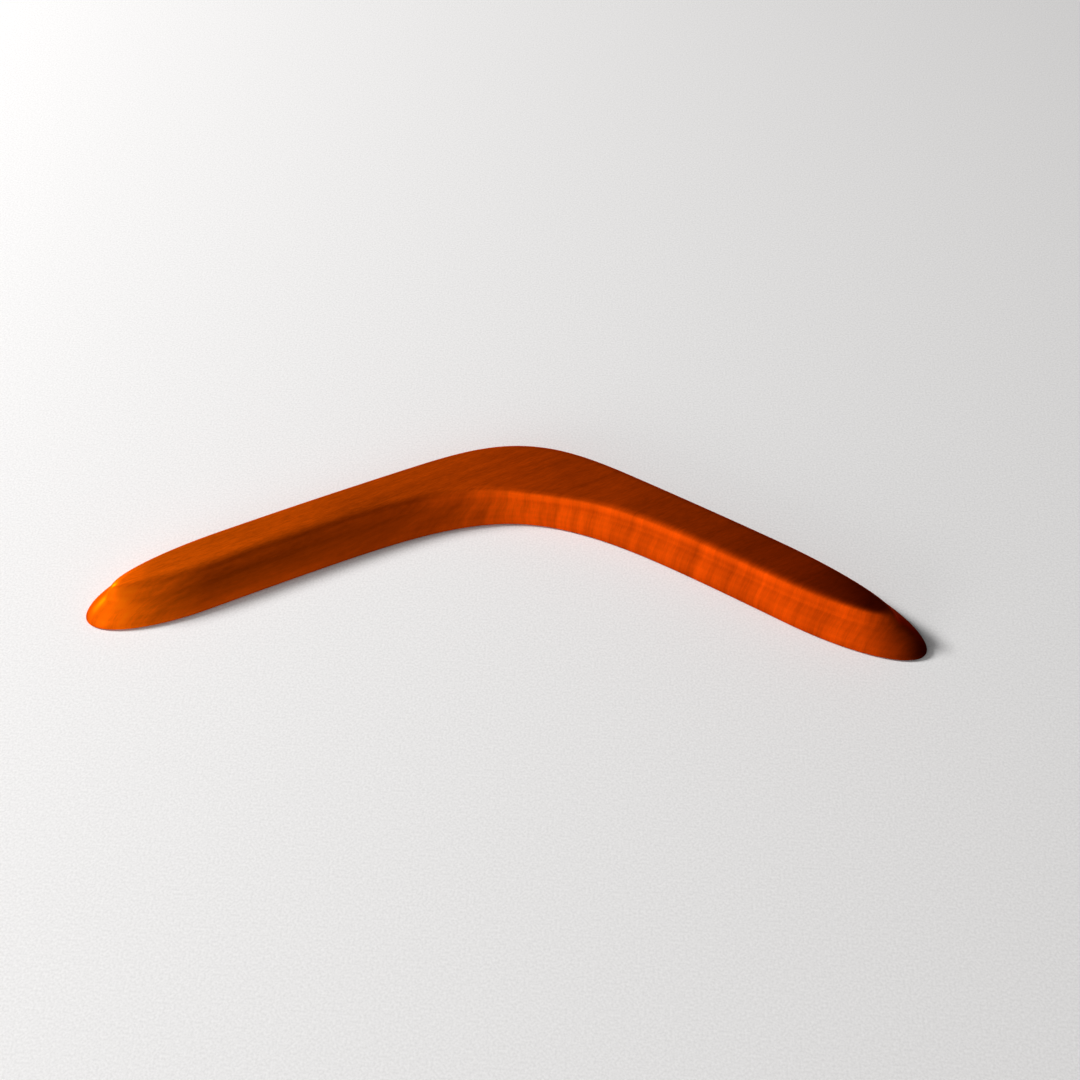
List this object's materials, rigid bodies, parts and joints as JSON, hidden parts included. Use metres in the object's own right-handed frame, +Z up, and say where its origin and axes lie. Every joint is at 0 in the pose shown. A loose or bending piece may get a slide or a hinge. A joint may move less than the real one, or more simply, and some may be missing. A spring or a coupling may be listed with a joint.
{
  "type": "boomerang",
  "caption": "Two-armed wooden boomerang with a flat underside, bevelled edges, a soft rounded elbow and rounded tips, stained orange-red.",
  "frame": {"origin": "middle of the bounding box at the underside, which is the surface the boomerang lies on", "axes": "+X along the span from the longer left arm's tip to the right arm's tip, +Y towards the elbow, +Z up out of the shaped top face"},
  "size_m": [0.399, 0.128, 0.018],
  "materials": {
    "face_veneer": "satin varnish over orange-red stain, grain along the left arm",
    "long_ply": "satin varnish over orange-red stain, side grain on the bevel",
    "cross_ply": "satin varnish over orange-red stain, end grain on the bevel"
  },
  "bodies": {
    "root": {"bottom_veneer": "face_veneer", "cross_ply_1": "cross_ply", "long_ply_1": "long_ply", "cross_ply_2": "cross_ply", "long_ply_2": "long_ply", "cross_ply_3": "cross_ply", "long_ply_3": "long_ply", "cross_ply_4": "cross_ply", "long_ply_4": "long_ply", "cross_ply_5": "cross_ply", "long_ply_5": "long_ply", "cross_ply_6": "cross_ply", "top_veneer": "face_veneer"}
  },
  "joints": []
}
